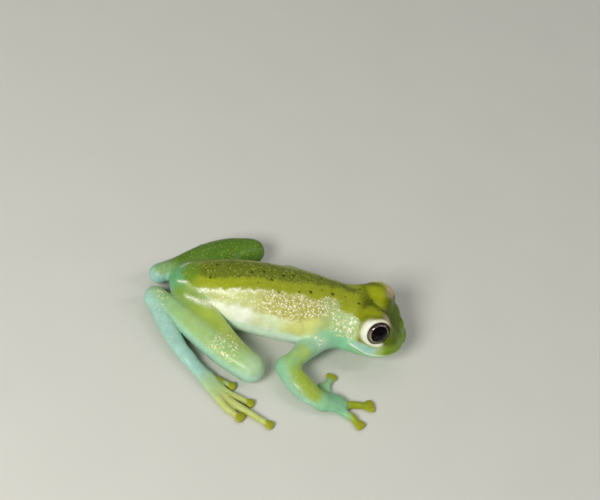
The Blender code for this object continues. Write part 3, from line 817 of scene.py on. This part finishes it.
# Masks for the shader's patterns, each from 0 to 1
onBody = shares["body"]
grains = onBody * np.max(
    [
        0.95 * front * fade(-3, 4, pastBack) * fade(3, -5, pastGold) * fade(4.6, 3.4, x),
        0.45 * (1 - front) * fade(4, 10, pastBack) * fade(80, 66, around) * fade(-9.5, -7.5, x),
        0.78 * fade(4.0, 4.7, x) * fade(7.5, 6.7, x) * fade(36, 44, around) * fade(84, 72, around),
        0.55 * fade(2.6, 3.4, x) * fade(5.4, 4.6, x) * fade(18, 26, around) * fade(56, 44, around),
    ],
    axis=0,
)
for name, start, end, amount in (  # bands of grains along the limbs
    ("shank_right", 0.14, 0.36, 0.52),
    ("shank_right", 0.84, 0.98, 0.45),
    ("forearm_right", 0.02, 0.7, 0.15),
    ("forearm_left", 0.02, 0.7, 0.15),
    ("upper_arm_right", 0.0, 0.4, 0.8),
    ("upper_arm_left", 0.0, 0.4, 0.8),
    ("tarsus_right", 0.0, 0.9, 0.2),
    ("tarsus_left", 0.0, 0.9, 0.2),
):
    t = alongLimb(limbForm[name], points)
    band = fade(start - 0.06, start + 0.02, t) * fade(end + 0.08, end - 0.04, t)
    grains = np.maximum(grains, amount * band * fade(0.2, 0.5, up) * shares[name])
topLine = 0.85 * bell(2.5, 3.2, pastBack) * fade(-10.6, -9.8, x) * fade(0.5, -2.5, x)
topLine = topLine * (0.25 + 0.75 * fade(-3.0, -4.6, x))
rumpLine = bell(41, 4, fromSpine) * fade(-12.4, -12.0, x) * fade(-10.9, -11.5, x)
lowLine = 1.35 * bell(0, 3.4, fromSpine - zone("lowLine")) * fade(-11.5, -10.9, x) * fade(-5.8, -7.0, x)
lines = np.max([topLine, rumpLine, lowLine], axis=0) * np.clip(onBody + 0.6 * shares["thigh_right"], 0, 1)
pepper = fade(2, -6, pastBack) * onBody * (1 - 0.5 * onHead) * (0.35 + 0.65 * fade(8, -6, pastMiddle))
pepper = np.maximum(pepper, 0.6 * (shares["shank_left"] + shares["thigh_left"]) * fade(0.2, 0.6, up))
spots = np.zeros(len(x))
for sx, sy, radius in zones["spots"]:
    ragged = 1 + 0.1 * np.sin(np.arctan2(y - sy, x - sx) * 3 + sx)
    near = np.hypot(x - sx, y - sy) * ragged + 0.05 * waver
    spots = np.maximum(spots, fade(radius * 1.25, radius * 0.5, near) * (z > 4.2))


def addMesh(name, points, faces):
    mesh = bpy.data.meshes.new(name)
    faces = np.asarray(faces)
    mesh.vertices.add(len(points))
    mesh.vertices.foreach_set("co", np.asarray(points, dtype=np.float32).ravel())
    mesh.loops.add(faces.size)
    mesh.loops.foreach_set("vertex_index", faces.ravel().astype(np.int32))
    mesh.polygons.add(len(faces))
    mesh.polygons.foreach_set("loop_start", np.arange(0, faces.size, faces.shape[1], dtype=np.int32))
    mesh.update(calc_edges=True)
    mesh.validate()
    mesh.shade_smooth()
    made = bpy.data.objects.new(name, mesh)
    bpy.context.scene.collection.objects.link(made)
    return made


skinPiece = addMesh("frog_skin", toModel(points), quads)
attribute = skinPiece.data.attributes.new("skinTint", "FLOAT_COLOR", "POINT")
attribute.data.foreach_set("color", np.hstack([skinTint, np.ones((len(x), 1))]).astype(np.float32).ravel())
for name, values in (("grains", grains), ("lines", lines), ("pepper", pepper), ("spots", spots)):
    attribute = skinPiece.data.attributes.new(name, "FLOAT", "POINT")
    attribute.data.foreach_set("value", np.clip(values, 0, 1).astype(np.float32))
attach(skinPiece, "root")
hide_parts(*flesh)


def addNode(tree, kind, sockets=(), **settings):
    # one node, its sockets by name or in order: a number is written, a hex colour turned to linear,
    # and a node's first output or a given output is linked
    node = tree.nodes.new("ShaderNode" + kind)
    for name, value in settings.items():
        setattr(node, name, value)
    for name, value in sockets.items() if isinstance(sockets, dict) else enumerate(sockets):
        if isinstance(value, bpy.types.Node):
            value = value.outputs[0]
        if isinstance(value, bpy.types.NodeSocket):
            tree.links.new(value, node.inputs[name])
        else:
            node.inputs[name].default_value = toLinear(value) if isinstance(value, str) else value
    return node


def newMaterial(name):
    # an empty material, and what adds a node to it
    material = bpy.data.materials.new(name)
    material.use_nodes = True
    material.node_tree.nodes.clear()
    return material, partial(addNode, material.node_tree)


def perMetre(millimetres):
    return 1000.0 / millimetres


# Moist frog skin: thin, half see-through skin with a wet film, so broad soft colour under small sharp glints
skinLook = {
    "noises": {  # millimetres, detail and roughness of each soft pattern
        "mottle": (0.9, 3.0, 0.6),  # slow change of colour and gloss
        "shake": (0.16, 1.0, 0.5),  # moves the grains out of line
        "patch": (0.27, 2.0, 0.6),  # ragged patches that the raised grains run together in
        "ground": (0.3, 2.0, 0.55),  # darker skin between the grains
        "broken": (0.24, 2.0, 0.55),  # breaks the white lines
        "pit": (0.11, 3.0, 0.55),  # the skin's own fine grain, as coarse as it needs to show
    },
    "shade": (0.91, 1.09),  # by the mottle
    "shake": 0.00011,  # metres, as are the depths
    # mm between dots, how their edge fades, which of them are drawn, their strength and colour
    "pepper": (0.16, (0.55, 0.25), (0.45, 0.7), 0.7, "#2f3c04"),  # clumps of 0.05 mm cells, so that they show
    "fleck": (0.3, (0.42, 0.26), (0.3, 0.6), 0.8, "#b0b544"),  # small pale grains
    "grainSize": 0.26,  # mm between the raised grains of flank and shoulder
    "grainEdge": (0.5, 0.3),
    "patchEdge": (0.6, 0.67, 0.0, 0.85),  # noise from and to, and the strength it gives
    "grain": ("#faf5dc", "#e2da98"),
    "ground": "#6f6a26",
    "line": "#f6f5dc",
    "lineBreaks": (0.38, 0.56, 0.3, 1.0),
    "spot": "#1c2506",
    "spotStrength": 0.88,
    "roughness": (0.29, 0.43),
    "pitDepth": 0.00003,
    "grainDepth": 0.00005,
    "film": 0.15,
}


def moistSkin(look):
    material, add = newMaterial("moist_frog_skin")
    place = add("TexCoord").outputs["Object"]
    masks, noises = {}, {}
    for name in ("grains", "lines", "pepper", "spots"):
        masks[name] = add("Attribute", attribute_name=name).outputs["Fac"]
    for name, (size, detail, rough) in look["noises"].items():
        sockets = {"Vector": place, "Scale": perMetre(size), "Detail": detail, "Roughness": rough}
        noises[name] = add("TexNoise", sockets)
    shake = (noises["shake"].outputs["Color"], (look["shake"],) * 3, place)
    shaken = add("VectorMath", shake, operation="MULTIPLY_ADD")
    shade = add("MapRange", (noises["mottle"], 0.3, 0.7, *look["shade"]))
    colour = add("Attribute", attribute_name="skinTint")
    colour = add("MixRGB", (1.0, colour, shade), blend_type="MULTIPLY")

    # dark pigment and small pale grains over the back
    for name in ("pepper", "fleck"):
        size, edge, drawn, most, tint = look[name]
        cell = add("TexVoronoi", {"Vector": shaken, "Scale": perMetre(size)})
        chance = add("SeparateColor", {"Color": cell.outputs["Color"]})
        dot = add("MapRange", (cell, *edge))
        for other in (add("MapRange", (chance, *drawn, 0.0, most)), masks["pepper"]):
            dot = add("Math", (dot, other), operation="MULTIPLY")
        colour = add("MixRGB", (dot, colour, tint))

    # pale raised granules on flank, shoulder, knee and heel: ragged patches, and single bright ones
    cell = add("TexVoronoi", {"Vector": shaken, "Scale": perMetre(look["grainSize"])})
    chance = add("SeparateColor", {"Color": cell.outputs["Color"]})
    near = add("MapRange", (cell, *look["grainEdge"]))
    drawn = add("Math", (chance, masks["grains"]), operation="ADD")
    drawn = add("MapRange", (drawn, 1.2, 1.4))
    single = add("Math", (near, drawn), operation="MULTIPLY")
    patch = add("Math", (masks["grains"], 0.09, noises["patch"]), operation="MULTIPLY_ADD")
    patch = add("MapRange", (patch, *look["patchEdge"]))
    grain = add("Math", (single, patch), operation="MAXIMUM")
    amount = add("MapRange", (masks["grains"], 0.05, 0.4, 0.0, 0.84))
    grain = add("Math", (grain, amount), operation="MULTIPLY")
    pale = add("MapRange", (chance.outputs["Green"], 0.35, 0.75))
    grainTint = add("MixRGB", (pale, *look["grain"]))
    amount = add("MapRange", (masks["grains"], 0.5, 1.0, 0.0, 0.35))
    ground = add("MapRange", (noises["ground"], 0.35, 0.6))
    ground = add("Math", (amount, ground), operation="MULTIPLY")
    colour = add("MixRGB", (ground, colour, look["ground"]))
    colour = add("MixRGB", (grain, colour, grainTint))

    # white lines, broken into flecks, and the dark spots
    broken = add("MapRange", (noises["broken"], *look["lineBreaks"]))
    line = add("Math", (masks["lines"], broken), operation="MULTIPLY")
    spot = add("Math", (masks["spots"], look["spotStrength"]), operation="MULTIPLY")
    colour = add("MixRGB", (line, colour, look["line"]))
    colour = add("MixRGB", (spot, colour, look["spot"]))

    raised = add("Math", (grain, line), operation="MAXIMUM")
    pits = add("Bump", {"Height": noises["pit"], "Strength": 0.3, "Distance": look["pitDepth"]})
    sockets = {"Height": raised, "Strength": 0.7, "Distance": look["grainDepth"], "Normal": pits}
    sockets = {
        "Base Color": colour,
        "Roughness": add("MapRange", (noises["mottle"], 0.3, 0.7, *look["roughness"])),
        "Normal": add("Bump", sockets),
        "IOR": 1.38,
        "Specular IOR Level": 0.24,
        "Subsurface Weight": 0.2,
        "Subsurface Radius": (0.0007, 0.0009, 0.0004),
        "Subsurface Scale": 1.0,
        "Coat Weight": look["film"],
        "Coat Roughness": 0.12,
        "Coat IOR": 1.33,
    }
    add("OutputMaterial", {"Surface": add("BsdfPrincipled", sockets)})
    return material


skinPiece.data.materials.append(moistSkin(skinLook))

# Eyes: a painted ball with a shallow bowl for the iris, under a clear wet dome
eyeLook = {
    "ball": (1.44, 48, 64),  # radius, rings and sides
    "dome": (1.5, 40, 56),
    "pupil": (0.9, 0.93),  # half width and half height, wide open
    "iris": 1.36,
    "bowl": 0.16,
    "stops": (  # colours outward, at multiples of the pupil's size
        (0.0, "#030102"),
        (0.97, "#080304"),
        (1.03, "#b9a98c"),
        (1.16, "#94876a"),
        (1.34, "#6f6549"),
        # the iris darkening to this ring at its edge is partly its own dark rim, partly painted shadow of the
        # lid
        (1.5, "#3b3422"),
        (1.75, "#d8d6c0"),
    ),
    "fibre": 0.1,  # mm between the iris's fibres, which in life are finer than shows
    "ragged": 0.06,  # of the pupil's size, by which they break its edge
    # painted shadow and reflection of the lid over the upper iris, and the height where it starts
    "lidShadow": "#452c36",
    "lidShadowFrom": (-0.0001, 0.0006),  # metres up the eye
}


def eyeMatrix(name):
    forward = Vector(eyeAxes[name])
    across = Vector((0, 0, 1)).cross(forward).normalized()
    turn = Matrix((forward, across, forward.cross(across))).transposed().to_4x4()
    return Matrix.Translation(Vector(toModel(eyeCentres[name])[0])) @ turn


def domeShape(radius, rings, sides, dip=lambda out: 0.0):
    # a ball about the X axis, with rings closer round the pupil
    roll = roundSteps(sides)
    made = []
    for i in range(1, rings):
        angle = math.pi * (i / rings) ** 1.25
        out = radius * math.sin(angle)
        sink = dip(out) if angle < math.pi / 2 else 0.0
        forward = np.full(sides, radius * math.cos(angle) - sink)
        made.append(np.stack([forward, out * np.cos(roll), out * np.sin(roll)], axis=1))
    points, faces = ringMesh(made)
    points[-2:, 0] = radius - dip(0.0), -radius
    return points * 0.001, faces[:, ::-1]


def irisBowl(out):
    return eyeLook["bowl"] * max(0.0, 1 - (out / eyeLook["iris"]) ** 2)


def paintedEye(look):
    # Living iris: fibrous pigment under fluid, so matt without a glint of its own, round a black pupil
    material, add = newMaterial("living_iris")
    place = add("TexCoord").outputs["Object"]
    axes = add("SeparateXYZ", (place,))
    wide, tall = look["pupil"]
    wide = add("Math", (axes.outputs["Y"], perMetre(wide)), operation="MULTIPLY")
    tall = add("Math", (axes.outputs["Z"], perMetre(tall)), operation="MULTIPLY")
    flat = add("CombineXYZ", (wide, tall))
    out = add("VectorMath", (flat,), operation="LENGTH").outputs["Value"]
    sockets = {"Vector": place, "Scale": perMetre(look["fibre"]), "Detail": 4.0, "Roughness": 0.7}
    fibres = add("TexNoise", sockets)
    ragged = add("Math", (fibres, look["ragged"], -look["ragged"] / 2), operation="MULTIPLY_ADD")
    out = add("Math", (out, ragged), operation="ADD")
    ramp = add("ValToRGB", (add("Math", (out, 0.5), operation="MULTIPLY"),))
    elements = ramp.color_ramp.elements
    while len(elements) < len(look["stops"]):
        elements.new(1.0)
    for element, (position, code) in zip(elements, look["stops"]):
        element.position = position / 2
        element.color = toLinear(code)
    # painted shadow and reflection of the lid: the iris darkened to maroon from its middle upward
    lidShadow = add("MapRange", (out, 1.0, 1.06, 0.0, 0.85))
    raised = add("MapRange", (axes.outputs["Z"], *look["lidShadowFrom"]))
    lidShadow = add("Math", (lidShadow, raised), operation="MULTIPLY")
    colour = add("MixRGB", (lidShadow, ramp, look["lidShadow"]))
    grainy = add("MapRange", (fibres, 0.3, 0.7, 0.7, 1.25))
    colour = add("MixRGB", (1.0, colour, grainy), blend_type="MULTIPLY")
    sockets = {"Base Color": colour, "Roughness": 0.6, "Specular IOR Level": 0.0}
    add("OutputMaterial", {"Surface": add("BsdfPrincipled", sockets)})
    return material


def wetCornea():
    # Wet cornea: a clear smooth dome, so one small sharp glint over a deep pupil
    # the specular tint dims the pale paper's reflection in it
    material, add = newMaterial("wet_cornea")
    sockets = {
        "Base Color": "#ffffff",
        "Roughness": 0.03,
        "IOR": 1.376,
        "Specular Tint": "#cbcbcb",
        "Transmission Weight": 1.0,
    }
    add("OutputMaterial", {"Surface": add("BsdfPrincipled", sockets)})
    return material


print("frog: eyes")
irisMaterial = paintedEye(eyeLook)
corneaMaterial = wetCornea()
for name in ("eye_right", "eye_left"):
    ball = addMesh(name.replace("eye", "iris"), *domeShape(*eyeLook["ball"], irisBowl))
    dome = addMesh(name.replace("eye", "cornea"), *domeShape(*eyeLook["dome"]))
    for piece, material in ((ball, irisMaterial), (dome, corneaMaterial)):
        piece.matrix_world = eyeMatrix(name)
        piece.data.materials.append(material)
        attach(piece, "root")
    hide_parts(name)

# Studio: a plain pale floor, one broad key from the frog's right and soft fill
studio = {
    "floor": "#d9d7cc",
    "paper": 9.0,  # mm of the paper's clouding
    "half": 3.0,  # metres, as is the level
    "level": -0.00003,
    "focus": (0, -1, 3),  # where the lamps point
    # direction, metres away, metres wide and high, watts and tilt in degrees
    "key": ((-0.43, -0.72, 0.54), 0.28, (0.075, 0.075), 0.66, 0),
    "strip": ((0.71, 0.13, 0.69), 0.35, (0.34, 0.04), 0.22, 45),
    "top": ((-0.1, 0.5, 1.0), 0.35, (0.3, 0.3), 0.12, 0),
    "air": 0.22,
    "airTint": "#f9fdff",
}


def studioPaper(look):
    # Matt studio paper: soft uncoated fibres, so an even pale ground with soft shadows and no shine
    material, add = newMaterial("matt_studio_paper")
    place = add("TexCoord").outputs["Object"]
    clouds = add("TexNoise", {"Vector": place, "Scale": perMetre(look["paper"]), "Detail": 4.0})
    shade = add("MapRange", (clouds, 0.0, 1.0, 0.96, 1.02))
    colour = add("MixRGB", (1.0, look["floor"], shade), blend_type="MULTIPLY")
    shader = add("BsdfPrincipled", {"Base Color": colour, "Roughness": 0.8})
    add("OutputMaterial", {"Surface": shader})
    return material


print("frog: studio")
ends = np.array(((-1, -1), (1, -1), (1, 1), (-1, 1))) * studio["half"]
floor = addMesh("studio_floor", [(a, b, studio["level"]) for a, b in ends], [(0, 1, 2, 3)])
floor.data.materials.append(studioPaper(studio))

world = bpy.data.worlds.new("studio_air")
bpy.context.scene.world = world
world.use_nodes = True
air = world.node_tree.nodes["Background"]
air.inputs["Color"].default_value = toLinear(studio["airTint"])
air.inputs["Strength"].default_value = studio["air"]
bpy.context.scene.view_settings.view_transform = "Standard"

# Camera: a 100 mm lens from the frog's right and a little behind, tilted as the picture is
view = {  # degrees and millimetres
    "azimuth": -12.5,
    "elevation": 40.0,
    "roll": 23.4,
    "distance": 180.3,
    "aim": (2.27, 8.16),
    "lens": 100.0,
    "sensor": 36.0,
    "clip": (0.01, 20.0),  # metres
}
print("frog: camera and lights")
azimuth, elevation, roll = (math.radians(view[key]) for key in ("azimuth", "elevation", "roll"))
levelRight = Vector((math.cos(azimuth), math.sin(azimuth), 0))
levelBack = Vector((math.sin(azimuth), -math.cos(azimuth), 0))
back = levelBack * math.cos(elevation) + Vector((0, 0, math.sin(elevation)))
levelUp = back.cross(levelRight)
right = levelRight * math.cos(roll) + levelUp * math.sin(roll)
up = levelUp * math.cos(roll) - levelRight * math.sin(roll)
spot = back * view["distance"] + right * view["aim"][0] + up * view["aim"][1]
camera = bpy.data.cameras.new("camera")
camera.lens = view["lens"]
camera.sensor_width = view["sensor"]
camera.clip_start, camera.clip_end = view["clip"]
cameraPiece = bpy.data.objects.new("camera", camera)
bpy.context.scene.collection.objects.link(cameraPiece)
turn = Matrix((right, up, back)).transposed().to_4x4()
cameraPiece.matrix_world = Matrix.Translation(Vector(toModel(tuple(spot))[0])) @ turn
bpy.context.scene.camera = cameraPiece

# Lights, with their long sides level in the picture
focus = Vector(toModel(studio["focus"])[0])
for name in ("key", "strip", "top"):
    way, distance, (wide, tall), power, tilt = studio[name]
    lamp = bpy.data.lights.new(name, "AREA")
    lamp.shape = "RECTANGLE"
    lamp.size = wide
    lamp.size_y = tall
    lamp.energy = power
    made = bpy.data.objects.new(name, lamp)
    bpy.context.scene.collection.objects.link(made)
    way = Vector(way).normalized()
    side = (right - way * right.dot(way)).normalized()
    turn = Matrix((side, way.cross(side), way)).transposed().to_4x4()
    turn = turn @ Matrix.Rotation(math.radians(tilt), 4, "Z")
    made.matrix_world = Matrix.Translation(focus + way * distance) @ turn

print("frog: done")
